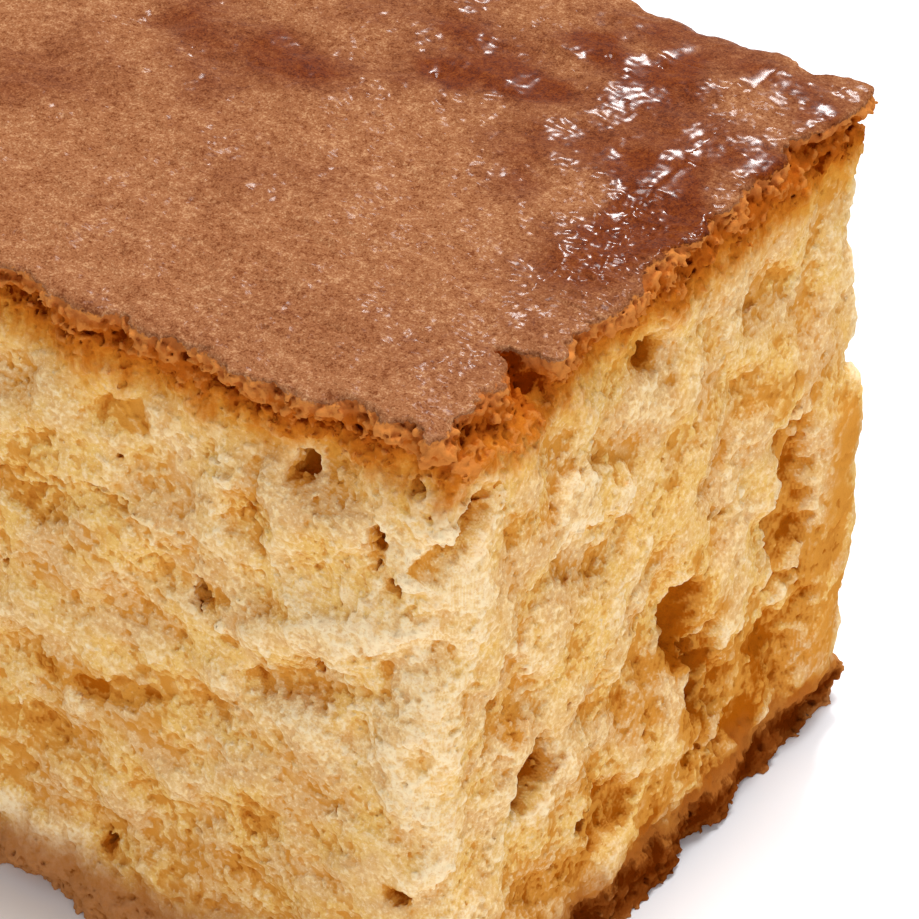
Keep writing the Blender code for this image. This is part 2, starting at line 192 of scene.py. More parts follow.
def setback(side, alongs, ups):
    # how far a side lies inside the envelope, as a sheet of depths over its length and height
    k = sideNames.index(side) + 1
    length = block["length"] if sides[side]["axis"] == 1 else block["width"]
    along = alongs[:, None]
    up = ups[None, :]

    rag = crust["rag"] * (rough(alongs, [0.0], 2.3, k) + 0.6 * rough(alongs, [1.0], 6.5, k))
    bandFoot = block["height"] - crust["band"] + 0.5 * rough(alongs, [2.0], 3.0, k)
    inCrust = ease((up - bandFoot) / crust["step"])
    inBase = ease((base["band"] + rag - up) / 0.8)

    depth = crumb["wave"] * rough(alongs, ups, crumb["waveLength"], k)
    depth += crumb["crag"] * rough(alongs, ups, crumb["cragLength"], k + 10)
    frayed = 0.2 * rough(alongs, ups, 0.9, k + 70)
    for n, (atAlong, atUp, halfAlong, halfUp, deep, lean) in enumerate(sides[side]["tears"]):
        if side == "front" and deep > 0.0:
            deep *= crumb["shallow"]
        da = along - atAlong
        du = up - atUp - lean * da
        reach = np.hypot(da / halfAlong, du / halfUp) + 0.22 * rough(alongs, ups, 1.8, k + 20 + n) + frayed
        depth += deep * ease((1.15 - reach) / 0.55)
    depth += crust["overhang"] * (1.0 - 0.5 * ease((block["height"] - crust["band"] - up) / 7.0))
    if side in ("front", "right"):
        worn = nearEdge["worn"] * np.maximum(0.0, 1.0 + rough(alongs, ups, nearEdge["waveLength"], k + 60))
        depth += worn * ease(1.0 - along / nearEdge["reach"])
    depth = depth * (1.0 - inBase) + base["rim"] * inBase
    depth = depth * (1.0 - inCrust) + (0.35 * crust["rag"] + rag) * inCrust

    if side == "right":
        height = (up - (block["height"] - chipped["height"])) / chipped["height"]
        ragged = 0.7 * rough(alongs, ups, 2.4, 5)
        slope = ease(height * 1.4) + 0.18 * rough(alongs, ups, 1.7, 6)
        pit = chipped["pitDeep"] * ease(1.0 - abs(along - chipped["pitAlong"]) / 1.5) * ease(height * 1.6)
        reached = ease((chipped["length"] + ragged - along) / 0.9) * ease(height * 3.0)
        depth += reached * (chipped["depth"] * slope + pit)
    if side == "front":
        first = ease((chipped["front"] - along) / 1.2)
        depth += first * ease((up - (block["height"] - chipped["height"])) / chipped["height"]) * 0.9

    swell = ease(1.0 - abs(up - bulge["height"]) / bulge["half"])
    depth += crumb["inset"]
    if side == "back":
        depth += bulge["backSetback"] - bulge["out"] * swell * ease(1.0 - along / bulge["reach"])
    if side == "right":
        farEnd = ease((along - (block["width"] - bulge["reach"])) / (0.7 * bulge["reach"]))
        depth -= bulge["out"] * swell * farEnd
        nearFoot = ease((footInset["height"] - up) / (0.7 * footInset["height"]))
        depth += footInset["deep"] * (ease(1.0 - along / footInset["length"]) * nearFoot)
    if side in ("right", "back"):
        toEdge = block["width"] - along if side == "right" else along
        depth -= np.interp(up, farEdge["ups"], farEdge["outs"]) * ease(1.0 - toEdge / farEdge["reach"])

    ends = np.minimum(along + 1.0, length - along)
    corner = np.maximum(0.0, 1.0 - ends / crumb["cornerRadius"]) ** 2
    depth += 0.55 * crumb["cornerRadius"] * corner * (1.0 - 0.6 * inCrust)
    return np.maximum(0.0, depth).astype(np.float32)


def topDrop(xs, ys):
    # how far the crust lies below the envelope's top
    x = xs[:, None]
    y = ys[None, :]
    away = np.maximum(abs(x) / half[0], abs(y) / half[1])
    drop = crust["domeFall"] * away ** 3
    drop = drop + crust["waveHeight"] * (1.0 + rough(xs, ys, crust["waveLength"], 41)) / 2.0
    drop = drop + 0.12 * (1.0 + rough(xs, ys, 2.6, 42))
    dipX = (x - (block["edgeX"] - dip["left"])) / dip["wide"]
    dipY = (y - (block["edgeY"] + dip["back"])) / dip["long"]
    drop = drop + dip["deep"] * ease(1.2 - np.hypot(dipX, dipY))
    return np.maximum(0.0, drop).astype(np.float32)


# Fields on a grid of small cells

coarse = 0.4                   # mm between the samples of the large forms
sideEnds = (46.5, 63.0)        # mm, where the places along a side end, by the axis that it faces along
tile = 96                      # random numbers along each edge of a lattice, which repeats past that


def splineParts(places, start, size):
    # the four cubic weights that spread a random lattice smoothly over the places
    t = (places - start) / size
    cell = np.floor(t).astype(int)
    f = (t - cell).astype(np.float32)
    parts = ((1 - f) ** 3, 3 * f ** 3 - 6 * f ** 2 + 4, -3 * f ** 3 + 3 * f ** 2 + 3 * f + 1, f ** 3)
    return cell, [(part / 6.0).astype(np.float32) for part in parts]


def stretched(lattice, places, start, size, axis):
    cell, parts = splineParts(places, start, size)
    shape = [1] * lattice.ndim
    shape[axis] = len(places)
    total = 0.0
    for k, part in enumerate(parts):
        total = total + np.take(lattice, (cell + k) % lattice.shape[axis], axis=axis) * part.reshape(shape)
    return total


def smoothField(axes, lengths, seed):
    # smooth noise in space, mostly -2 to 2, the same for every piece that asks with the same seed
    value = np.random.default_rng(seed).standard_normal((tile, tile, tile), dtype=np.float32)
    for k in (1, 0, 2):
        value = stretched(value, axes[k], -40.0, lengths[k], k)
    value *= 3.0
    return value


def smoothSheet(alongs, ups, lengths, seed):
    # the same over a side's length and height, or over the top
    value = np.random.default_rng(seed).standard_normal((4 * tile, 4 * tile), dtype=np.float32)
    value = stretched(value, ups, -40.0, lengths[1], 1)
    return stretched(value, alongs, -40.0, lengths[0], 0) * 2.1


def spread(sheet, fromA, fromB, toA, toB):
    # a coarse sheet read at finer places
    for axis, (source, places) in enumerate(((fromA, toA), (fromB, toB))):
        t = np.clip((places - source[0]) / (source[1] - source[0]), 0.0, len(source) - 1.001)
        cell = t.astype(int)
        f = (t - cell).astype(np.float32)
        f = f[:, None] if axis == 0 else f[None, :]
        sheet = np.take(sheet, cell, axis=axis) * (1.0 - f) + np.take(sheet, cell + 1, axis=axis) * f
    return sheet


def boxMean(value, reach, axis):
    # running mean along one axis, from running sums
    count = value.shape[axis]
    sums = np.cumsum(value, axis=axis, dtype=np.float32)
    sums = np.concatenate([np.zeros_like(np.take(sums, [0], axis=axis)), sums], axis=axis)
    low = np.clip(np.arange(count) - reach, 0, count)
    high = np.clip(np.arange(count) + reach + 1, 0, count)
    shape = [1, 1, 1]
    shape[axis] = count
    sizes = (high - low).reshape(shape).astype(np.float32)
    return (np.take(sums, high, axis=axis) - np.take(sums, low, axis=axis)) / sizes


def blurred(value, voxel, radius):
    # a soft average over a few tenths of a millimetre
    reach = max(1, round(radius / voxel))
    for axis in (0, 1, 2, 0, 1, 2):
        value = boxMean(value, reach, axis)
    return value


coarseUps = np.arange(-1.0, block["height"] + 1.5, coarse)
coarseAlongs = {name: np.arange(-3.0, sideEnds[face["axis"]], coarse) for name, face in sides.items()}
wallSheets = {name: setback(name, coarseAlongs[name], coarseUps) for name in sides}
coarseXs = np.arange(-half[0] - 1.5, half[0] + 1.9, coarse)
coarseYs = np.arange(-half[1] - 1.5, half[1] + 1.9, coarse)
topSheet = topDrop(coarseXs, coarseYs)
say("large forms of the sides and the top")


# Top skin

skin = {
    "wrinkle": 0.055,         # mm, low wrinkles of a few millimetres, longer along the block
    "grain": 0.026,           # mm, the skin's own grain
    "smoothed": 0.7,          # share of both that is gone where it baked dark
    "ridge": 0.13,            # mm, blistered ridges towards the right edge
    "pits": 90,               # pinholes where bubbles broke
    "pitRadius": (0.1, 0.26),
}
# Where the skin baked darker and smoother: left of the near edge, back, half width, half depth, strength
darkPatches = [
    (31.5, 25.5, 7.0, 4.6, 0.8),
    (20.5, 34.0, 8.5, 5.0, 0.65),
    (7.0, 31.5, 11.0, 8.5, 0.85),
    (2.5, 20.0, 4.6, 9.0, 0.75),
    (40.0, 17.0, 5.0, 6.0, 0.4),
    (8.0, 41.5, 16.0, 4.0, 0.6),
    (52.0, 30.0, 7.0, 6.0, 0.7),
    (50.0, 8.0, 5.0, 4.0, 0.35),
]


def bakedDark(xs, ys):
    # how dark the skin baked, from 0 to about 1, over the top
    left = block["edgeX"] - xs[:, None]
    back = ys[None, :] - block["edgeY"]
    wander = 0.2 * smoothSheet(xs, ys, (2.6, 2.2), 37) + 0.06 * smoothSheet(xs, ys, (0.9, 0.8), 38)
    dark = 0.1 + 0.1 * smoothSheet(xs, ys, (4.5, 3.5), 36)
    for atLeft, atBack, halfLeft, halfBack, strength in darkPatches:
        reach = np.hypot((left - atLeft) / halfLeft, (back - atBack) / halfBack) + wander
        dark = dark + strength * ease((1.45 - reach) / 1.2)
    return np.clip(dark, 0.0, 1.0)


def skinHeight(xs, ys):
    # height of the baked skin over the base, with its wrinkles, ridges, grain and pinholes
    height = block["height"] - spread(topSheet, coarseXs, coarseYs, xs, ys)
    height = height + skin["wrinkle"] * (smoothSheet(xs, ys, (1.9, 1.3), 31) - 1.0)
    fine = 0.6 * skin["wrinkle"] * smoothSheet(xs, ys, (0.85, 0.45), 32)
    grain = smoothSheet(xs, ys, (0.28, 0.22), 33) + 0.8 * smoothSheet(xs, ys, (0.15, 0.15), 34)
    fine += skin["grain"] * grain
    left = block["edgeX"] - xs[:, None]
    back = ys[None, :] - block["edgeY"]
    # blisters rose near the right edge, along its middle
    blistered = ease((8.0 - left) / 5.0) * ease((back - 12.0) / 4.0) * ease((29.0 - back) / 5.0)
    height += fine * (1.0 - skin["smoothed"] * bakedDark(xs, ys) * (1.0 - blistered))
    fold = np.abs(smoothSheet(xs, ys, (1.3, 0.9), 35))
    height += skin["ridge"] * blistered * (ease(1.0 - fold / 0.55) - 0.4)
    draw = random.Random(71)
    small, large = skin["pitRadius"]
    for _ in range(skin["pits"]):
        x, y = draw.uniform(-half[0], half[0]), draw.uniform(-half[1], half[1])
        radius = small + (large - small) * draw.random() ** 2
        if xs[0] - 1.0 < x < xs[-1] + 1.0 and ys[0] - 1.0 < y < ys[-1] + 1.0:
            reach = np.hypot((xs[:, None] - x) / draw.uniform(0.8, 1.7), ys[None, :] - y) / radius
            height -= radius * ease(1.3 - reach)
    return np.minimum(height, block["height"]).astype(np.float32)


# Torn crumb

tornCrumb = {
    "layer": 0.85,           # mm of depth between one torn layer and the next
    "layered": 0.28,         # share of the form that breaks into layers
    "ragged": 0.42,          # layers that the torn edges wander by
    "shingleStep": 7.5,      # mm from one torn lip to the next
    "shingleDepth": 0.4,     # mm that the hollow under a lip goes in
    "swell": 0.2,            # mm, soft swellings of two or three millimetres
    "cells": 0.2,            # mm, broken gas cells a millimetre or two across
    "warp": 0.08,            # mm that every edge wanders
    "lump": 0.025,           # mm, soft lumps a millimetre across
    "grain": 0.02,           # mm, grains of half a millimetre
    "fineGrain": 0.022,      # mm, grains of a third of a millimetre
    "pins": 0.008,           # pin pores in a square millimetre
    "pinRadius": (0.14, 0.3),
    "deepest": 5.0,          # mm that any hollow goes in at most
}
rim = {
    "reach": 4.5,            # mm below the envelope's top where the rim's own roughness starts
    "rag": 0.3,              # mm that its edge wanders
    "crumbs": (0.12, 0.1),   # mm, crumbs of half and of a third of a millimetre on its face
    "notch": 0.55,           # mm, notches that run in under the skin
}
foot = {
    "reach": 4.0,            # mm up from the base
    "lumps": 0.4,            # mm, lumps where the base crust broke
    "crumbs": (0.1, 0.05),
}


def tornRelief(side, alongs, ups):
    # swellings, broken cells and long shingled lips that tearing leaves on a side, in millimetres of depth,
    # and the fine wander of every torn edge
    k = sideNames.index(side) * 40 + 100
    tall = side in ("right", "far")
    wide, high = (0.75, 1.35) if tall else (1.3, 0.8)
    lean = 0.55 if tall else 0.22
    along = alongs[:, None]
    up = ups[None, :]

    ragged = 0.7 * smoothSheet(alongs, ups, (0.62, 0.55), k + 1)
    ragged += 0.6 * smoothSheet(alongs, ups, (0.25, 0.23), k + 2)
    bend = 0.42 * smoothSheet(alongs, ups, (7.0 * wide, 7.0 * high), k + 4)
    bend += 0.18 * smoothSheet(alongs, ups, (2.8, 2.4), k + 5)
    rise = (up + lean * along) / tornCrumb["shingleStep"] + bend + 0.08 * ragged
    part = rise - np.floor(rise)
    lip = ease((part - 0.03) / 0.9) * ease((1.0 - part) / 0.06)
    strength = np.clip(0.2 + 0.6 * smoothSheet(alongs, ups, (5.0 * wide, 4.0 * high), k + 6), 0.0, 1.3)
    depth = tornCrumb["shingleDepth"] * lip * strength
    depth += tornCrumb["swell"] * smoothSheet(alongs, ups, (1.9 * wide, 1.9 * high), k + 10)
    cells = smoothSheet(alongs, ups, (1.0, 0.95), k + 11)
    cells += 0.5 * smoothSheet(alongs, ups, (0.45, 0.42), k + 12)
    crowded = smoothSheet(alongs, ups, (4.5, 4.5), k + 13)
    depth += tornCrumb["cells"] * ease((cells + 0.45 * crowded - 0.8) / 0.9)
    return depth.astype(np.float32), ragged.astype(np.float32)


def torn(side, alongs, ups):
    # one side's depth with everything that tearing leaves on it: relief, layers, named pores and pin pores
    k = sideNames.index(side) * 40 + 100
    wall = spread(wallSheets[side], coarseAlongs[side], coarseUps, alongs, ups)
    relief, ragged = tornRelief(side, alongs, ups)
    inRim = ease((ups - (block["height"] - rim["reach"])) / 2.2)[None, :]
    if side == "back":
        ragged *= 1.0 - 0.7 * inRim          # the rim came away clean there
    wall = wall + relief * (1.0 - 0.6 * inRim)
    rag = rim["rag"] * (0.4 if side == "back" else 1.0)
    wall += inRim * rag * (smoothSheet(alongs, ups, (1.5, 1.1), k + 14) + 0.5 * ragged)
    inFoot = ease((foot["reach"] - ups) / 2.5)[None, :]
    wall += inFoot * foot["lumps"] * smoothSheet(alongs, ups, (2.1, 1.3), k + 15)

    layer = wall / tornCrumb["layer"] + tornCrumb["ragged"] * ragged
    whole = np.floor(layer)
    stepped = whole + ease((layer - whole - 0.39) / 0.22) - tornCrumb["ragged"] * 0.5 * ragged
    wall = wall + tornCrumb["layered"] * (stepped * tornCrumb["layer"] - wall)

    draw = random.Random(500 + sideNames.index(side))
    small, large = tornCrumb["pinRadius"]
    pores = list(sides[side]["pores"])
    for _ in range(int(tornCrumb["pins"] * 65.0 * block["height"])):
        wide = small + (large - small) * draw.random() ** 2
        along = draw.uniform(-2.0, 63.0)
        up = draw.uniform(1.0, 44.0)
        pores.append((along, up, wide, wide * draw.uniform(0.7, 1.5), 2.6 * wide))
    for along, up, wide, tall, deep in pores:
        if alongs.min() - 1.0 < along < alongs.max() + 1.0:
            reach = np.hypot((alongs[:, None] - along) / wide, (ups[None, :] - up) / tall)
            wall = wall + deep * ease((1.2 - reach - 0.3 * ragged) / 0.6)
    shallow = 0.7 * np.exp(np.minimum(wall - 0.7, 0.0) / 0.7)      # bends to stay inside the envelope
    return np.clip(np.where(wall < 0.7, shallow, wall), 0.1, tornCrumb["deepest"]).astype(np.float32)


def lookup(sheet, rows, columns):
    # a sheet read between its points, at a place for every cell of a field
    rows = np.clip(rows, 0.0, sheet.shape[0] - 1.01)
    columns = np.clip(columns, 0.0, sheet.shape[1] - 1.01)
    row = rows.astype(np.int32)
    column = columns.astype(np.int32)
    rows -= row
    columns -= column
    flat = sheet.ravel()
    at = row * sheet.shape[1] + column
    near = np.take(flat, at) * (1.0 - rows) + np.take(flat, at + sheet.shape[1]) * rows
    at += 1
    far = np.take(flat, at) * (1.0 - rows) + np.take(flat, at + sheet.shape[1]) * rows
    return near * (1.0 - columns) + far * columns


def roundedMax(a, b, radius):
    # the outer of two surfaces, with the edge between them rounded
    rounded = np.hypot(a + radius, b + radius) - radius
    return np.where((a > -radius) & (b > -radius), rounded, np.maximum(a, b))


def overField(values, axis):
    # values for the places along x or y, shaped to spread over a field
    return values[:, None, None] if axis == 0 else values[None, :, None]


# Where one piece takes over from the next it dips a little, so that no two surfaces coincide
join = {"dip": 0.12, "reach": 0.4}


def crumbField(xs, ys, zs, voxel, faces):
    # below zero inside the sponge: the skin on top, the torn walls of the sides, and the grain
    axes = (xs, ys, zs)
    level = skinHeight(xs, ys)
    under = level[:, :, None] - zs[None, None, :].astype(np.float32)
    warpAcross = smoothField(axes, (0.3, 0.3, 0.26), 2) + 0.8 * smoothField(axes, (0.16, 0.16, 0.16), 3)
    warpUp = smoothField(axes, (0.26, 0.26, 0.3), 4) + 0.8 * smoothField(axes, (0.16, 0.16, 0.16), 5)
    warpAcross *= tornCrumb["warp"] / voxel
    warpUp *= tornCrumb["warp"] / voxel
    cells = np.arange(len(zs), dtype=np.float32)[None, None, :]
    walls = np.full(under.shape, -9.0, np.float32)
    for side in faces:
        face = sides[side]
        across = ys if face["axis"] == 0 else xs
        alongs = (across - face["start"]) * face["step"]
        wall = torn(side, alongs, zs)
        rows = overField(np.arange(len(across), dtype=np.float32), 1 - face["axis"])
        deep = lookup(wall, rows + warpAcross, cells + warpUp)
        inward = half[face["axis"]] - face["sign"] * axes[face["axis"]]
        walls = roundedMax(walls, deep - overField(inward, face["axis"]).astype(np.float32), 0.9)
    value = roundedMax(walls, -under, 0.35)

    middling = smoothField(axes, (0.3, 0.3, 0.28), 6)
    fine = smoothField(axes, (0.16, 0.16, 0.16), 7)
    grain = tornCrumb["lump"] * smoothField(axes, (0.9, 0.9, 0.8), 1)
    grain += tornCrumb["grain"] * middling + tornCrumb["fineGrain"] * fine
    value += grain * ease((under - 0.1) / 0.6)
    onRim = ease((under - 0.12) / 0.4) * ease((5.2 - under) / 2.4)
    value += onRim * (rim["crumbs"][0] * middling + rim["crumbs"][1] * fine)
    onFoot = ease((foot["reach"] - zs) / 2.4)[None, None, :].astype(np.float32) * (under > 6.0)
    value += onFoot * (foot["crumbs"][0] * middling + foot["crumbs"][1] * fine)
    notched = ease((smoothField(axes, (1.2, 1.2, 0.5), 8) - 0.5) / 0.8)
    value += rim["notch"] * notched * np.exp(-((under - 1.1) / 0.6) ** 2)

    # the distance to the nearest end that another piece takes over from
    joins = np.full((len(xs), len(ys), 1), 9.0)
    for axis, reach in enumerate(half):
        places = axes[axis]
        if places[0] > -reach:
            joins = np.minimum(joins, overField(places - places[0], axis))
        if places[-1] < reach:
            joins = np.minimum(joins, overField(places[-1] - places, axis))
    value += (join["dip"] * ease(1.0 - joins / join["reach"])).astype(np.float32)
    np.maximum(value, -zs[None, None, :], out=value)
    for axis, reach in enumerate(half):
        np.maximum(value, overField(np.abs(axes[axis]) - reach, axis).astype(np.float32), out=value)
    np.maximum(value, (zs - block["height"])[None, None, :].astype(np.float32), out=value)
    return value, under


def meshFromField(name, value, axes, voxel, target):
    # the field's zero surface as one closed mesh, with flat stretches thinned to the triangle budget
    padded = np.pad(np.clip(value, -3.0 * voxel, 3.0 * voxel), 1, constant_values=3.0 * voxel)
    grid = openvdb.FloatGrid(3.0 * voxel)
    grid.copyFromArray(padded.astype(np.float32))
    points, triangles, quads = grid.convertToPolygons(isovalue=0.0, adaptivity=0.0)
    points = (points - 1.0) * voxel + np.array([axis[0] for axis in axes], np.float32)
    mesh = bpy.data.meshes.new(name)
    mesh.vertices.add(len(points))
    mesh.vertices.foreach_set("co", (points * 0.001).astype(np.float32).ravel())
    mesh.loops.add(4 * len(quads))
    mesh.loops.foreach_set("vertex_index", quads.astype(np.int32).ravel())
    mesh.polygons.add(len(quads))
    mesh.polygons.foreach_set("loop_start", np.arange(0, 4 * len(quads), 4, dtype=np.int32))
    mesh.update(calc_edges=True)
    piece = bpy.data.objects.new(name, mesh)
    bpy.context.scene.collection.objects.link(piece)
    full = 2 * len(quads)
    if full > target:
        thin = piece.modifiers.new("thin", "DECIMATE")
        thin.ratio = target / full
        thin.use_collapse_triangulate = True
        graph = bpy.context.evaluated_depsgraph_get()
        made = bpy.data.meshes.new_from_object(piece.evaluated_get(graph))
        piece.modifiers.clear()
        piece.data = made
        bpy.data.meshes.remove(mesh)
        made.name = name
    return piece, full


def keepLargest(piece):
    # loose scraps that float clear of the piece are dropped
    shape = bmesh.new()
    shape.from_mesh(piece.data)
    shape.verts.ensure_lookup_table()
    group = [0] * len(shape.verts)
    sizes = [0]
    for vert in shape.verts:
        if group[vert.index]:
            continue
        sizes.append(1)
        group[vert.index] = len(sizes) - 1
        waiting = [vert]
        while waiting:
            for edge in waiting.pop().link_edges:
                for other in edge.verts:
                    if not group[other.index]:
                        group[other.index] = len(sizes) - 1
                        sizes[-1] += 1
                        waiting.append(other)
    largest = sizes.index(max(sizes))
    loose = [vert for vert in shape.verts if group[vert.index] != largest]
    bmesh.ops.delete(shape, geom=loose, context="VERTS")
    shape.to_mesh(piece.data)
    shape.free()


def paintAttribute(piece, name, values):
    layer = piece.data.attributes.new(name, "FLOAT", "POINT")
    layer.data.foreach_set("value", values.astype(np.float32))


softShade = 0.72     # share of the shading that follows a softened form, as light spreads inside sponge


def softenNormals(piece, soft, cells, share):
    # normals turned part of the way to those of the softened form
    slopes = []
    for axis in range(3):
        ahead = [np.minimum(c + (k == axis), soft.shape[k] - 1) for k, c in enumerate(cells)]
        behind = [np.maximum(c - (k == axis), 0) for k, c in enumerate(cells)]
        slopes.append(soft[tuple(behind)] - soft[tuple(ahead)])
    smooth = np.stack(slopes, axis=1)
    steepness = np.linalg.norm(smooth, axis=1)
    smooth /= np.maximum(steepness, 1e-6)[:, None]
    own = np.empty(3 * len(piece.data.vertices), np.float32)
    piece.data.vertices.foreach_get("normal", own)
    own = own.reshape(-1, 3)
    # loose tips, where the softened form has no clear direction, keep their own
    share = share * ease(((smooth * own).sum(axis=1) - 0.1) / 0.6)
    share = share * ease(steepness / np.median(steepness) / 0.7)
    blend = share[:, None] * smooth + (1.0 - share[:, None]) * own
    blend /= np.maximum(np.linalg.norm(blend, axis=1, keepdims=True), 1e-6)
    piece.data.normals_split_custom_set_from_vertices(blend)


def sheetAt(sheet, fromA, fromB, a, b):
    # a coarse sheet read at scattered places
    rows = (a - fromA[0]) / (fromA[1] - fromA[0])
    columns = (b - fromB[0]) / (fromB[1] - fromB[0])
    return lookup(sheet, rows, columns)


def hollowAt(co, faces):
    # how far the nearest side's large form lies in at each point, against the wall round it, with the painted
    # shade and colour patches
    best = np.full(len(co), 99.0)
    hollow = np.zeros(len(co))
    for side in faces:
        face = sides[side]
        across = 1 - face["axis"]
        along = (co[:, across] - face["start"]) * face["step"]
        deep = sheetAt(wallSheets[side], coarseAlongs[side], coarseUps, along, co[:, 2])
        gap = np.abs(half[face["axis"]] - face["sign"] * co[:, face["axis"]] - deep)
        here = sheetAt(hollowSheets[side], coarseAlongs[side], coarseUps, along, co[:, 2])
        hollow = np.where(gap < best, here, hollow)
        best = np.minimum(gap, best)
    return hollow


def shadeAndToneAttributes(piece, value, under, axes, voxel, faces):
    # the crumb's painted shade and highlight: 0.5 where level, less where it stands out, more in a hollow;
    # how deep each point lies under the top skin, in millimetres; and how dark the skin over it baked
    co = np.empty(3 * len(piece.data.vertices), np.float32)
    piece.data.vertices.foreach_get("co", co)
    co = co.reshape(-1, 3) * 1000.0
    nearest = [np.rint((co[:, k] - axis[0]) / voxel).astype(int) for k, axis in enumerate(axes)]
    cells = tuple(np.clip(nearest[k], 0, len(axis) - 1) for k, axis in enumerate(axes))
    solid = np.clip(0.5 - value / (2.0 * voxel), 0.0, 1.0)
    soft = blurred(solid, voxel, 0.6)
    wide = np.maximum(blurred(solid, voxel, 1.5)[cells], 0.44)
    shadeAndTone = 0.45 * blurred(solid, voxel, 0.3)[cells] + 0.35 * np.maximum(soft[cells], 0.36) + 0.2 * wide
    paintAttribute(piece, "shadeAndTone", shadeAndTone + hollowShade * hollowAt(co, faces))
    paintAttribute(piece, "under", under[cells])
    paintAttribute(piece, "dark", sheetAt(darkSheet, coarseXs, coarseYs, co[:, 0], co[:, 1]))
    crisp = (1.0 - ease((under[cells] - 1.2) / 3.0)) + (1.0 - ease((co[:, 2] - 0.6) / 2.5))
    softenNormals(piece, soft, cells, softShade * (1.0 - 0.8 * np.clip(crisp, 0.0, 1.0)))


hollowShade = 0.11     # painted shade that a millimetre of large hollow adds
# Darker and paler patches, in the same terms as a hollow's millimetres: those over tears and pores are
# painted shade,
# paler ones on ledges and tear floors are painted light against their shade, the rest the crumb's own baked
# colour:
shadeAndColourPatches = {
    "front": [
        (21.6, 38.4, 1.5, 1.1, 1.2), (13.0, 36.0, 2.0, 3.4, 0.7), (26.5, 17.9, 2.4, 0.9, 1.5),
        (21.8, 18.6, 3.2, 1.7, 0.7), (6.6, 26.4, 3.6, 2.2, -0.4), (8.0, 23.5, 5.0, 2.8, -0.5),
        (27.5, 35.5, 1.6, 1.2, 0.6), (29.8, 31.2, 2.4, 2.0, 0.6), (13.6, 13.4, 2.0, 2.2, 0.6),
        (8.2, 18.4, 1.8, 1.4, 0.5), (2.9, 12.5, 1.8, 1.2, 1.0), (20.0, 4.6, 4.6, 2.2, 0.6),
        (30.0, 1.5, 22.0, 3.5, -1.6), (17.0, 8.0, 3.0, 2.0, 0.4), (31.0, 24.5, 2.4, 2.0, 0.4),
        (38.0, 12.0, 4.0, 3.0, 0.5), (30.0, 12.0, 5.0, 4.0, 0.4), (26.0, 9.0, 12.0, 7.0, 0.35),
        (14.0, 5.0, 10.0, 4.0, 0.3), (24.0, 30.0, 6.0, 3.0, 0.25), (6.6, 31.6, 6.8, 2.6, -0.8),
        (2.2, 37.2, 2.6, 2.8, -0.5), (3.4, 21.0, 2.4, 3.0, -0.4), (17.4, 38.0, 3.4, 3.4, -0.4),
        (28.0, 22.0, 4.4, 2.6, -0.3), (10.0, 20.5, 4.0, 1.6, -0.3), (26.0, 9.0, 4.0, 3.0, -0.3),
        (5.0, 12.0, 2.6, 3.0, -0.3),
    ],
    "right": [
        (9.2, 18.2, 2.8, 2.8, 1.2), (15.0, 13.2, 1.8, 2.6, 0.8), (16.5, 16.8, 1.8, 1.0, 0.5),
        (25.2, 18.2, 1.9, 3.8, 2.0), (26.6, 12.4, 2.3, 3.8, 2.0), (34.5, 29.6, 3.0, 1.2, 0.7),
        (39.5, 20.0, 5.2, 8.0, 0.5), (4.0, 24.0, 3.6, 3.4, 0.4), (13.5, 7.0, 2.4, 1.9, 0.6),
        (20.4, 3.6, 2.2, 1.8, 2.2), (27.6, 3.0, 2.4, 1.6, 2.2), (34.0, 3.4, 3.4, 1.9, 1.5),
        (41.5, 3.0, 3.0, 2.4, 1.8), (26.0, 1.2, 26.0, 2.6, 1.0), (31.0, 7.5, 4.0, 3.0, 0.8),
        (21.5, 8.0, 3.0, 3.0, 0.7), (1.4, 38.6, 2.6, 1.0, 1.3), (7.0, 37.2, 1.8, 1.4, 0.7),
        (21.3, 39.2, 1.6, 1.3, 0.8), (10.0, 6.0, 9.0, 5.0, 0.5), (25.0, 8.0, 9.0, 6.0, 0.4),
        (38.0, 9.0, 6.0, 6.0, 0.6), (41.0, 41.5, 7.0, 2.6, 1.1), (14.0, 9.0, 14.0, 8.0, 0.35),
        (32.0, 12.0, 13.0, 9.0, 0.35), (30.0, 33.0, 8.0, 5.0, 0.2), (13.2, 32.5, 2.8, 2.2, -1.0),
        (17.8, 24.4, 2.0, 1.6, -0.7), (31.5, 22.5, 3.0, 4.8, -0.4), (2.0, 42.4, 2.2, 1.2, -0.8),
        (21.0, 36.6, 2.2, 1.8, -0.4), (28.6, 38.0, 2.2, 1.8, -0.4), (3.0, 31.0, 2.0, 3.0, -0.3),
        (5.5, 14.0, 2.4, 3.0, -0.3),
    ],
}
poreShade = 2.2        # the same painted shade, inside a named pore
# Each side's sheet of painted shade: its large hollows and named pores, with the shade and colour patches
hollowSheets = {}
for name, sheet in wallSheets.items():
    hollow = np.clip(sheet - blurred(sheet[:, :, None], coarse, 3.0)[:, :, 0], -1.5, 2.0)
    wander = 0.3 * smoothSheet(coarseAlongs[name], coarseUps, (1.3, 1.2), 90)
    shadeAndColourMarks = list(shadeAndColourPatches.get(name, []))
    for along, up, wide, tall, _ in sides[name]["pores"]:
        shadeAndColourMarks.append((along, up, 1.1 * wide, 1.1 * tall, poreShade))
    for atAlong, atUp, halfAlong, halfUp, strength in shadeAndColourMarks:
        da = (coarseAlongs[name][:, None] - atAlong) / halfAlong
        du = (coarseUps[None, :] - atUp) / halfUp
        hollow = hollow + strength * ease((1.35 - np.hypot(da, du) - wander) / 0.8)
    hollowSheets[name] = np.clip(hollow, -1.8, 3.6).astype(np.float32)
darkSheet = bakedDark(coarseXs, coarseYs).astype(np.float32)

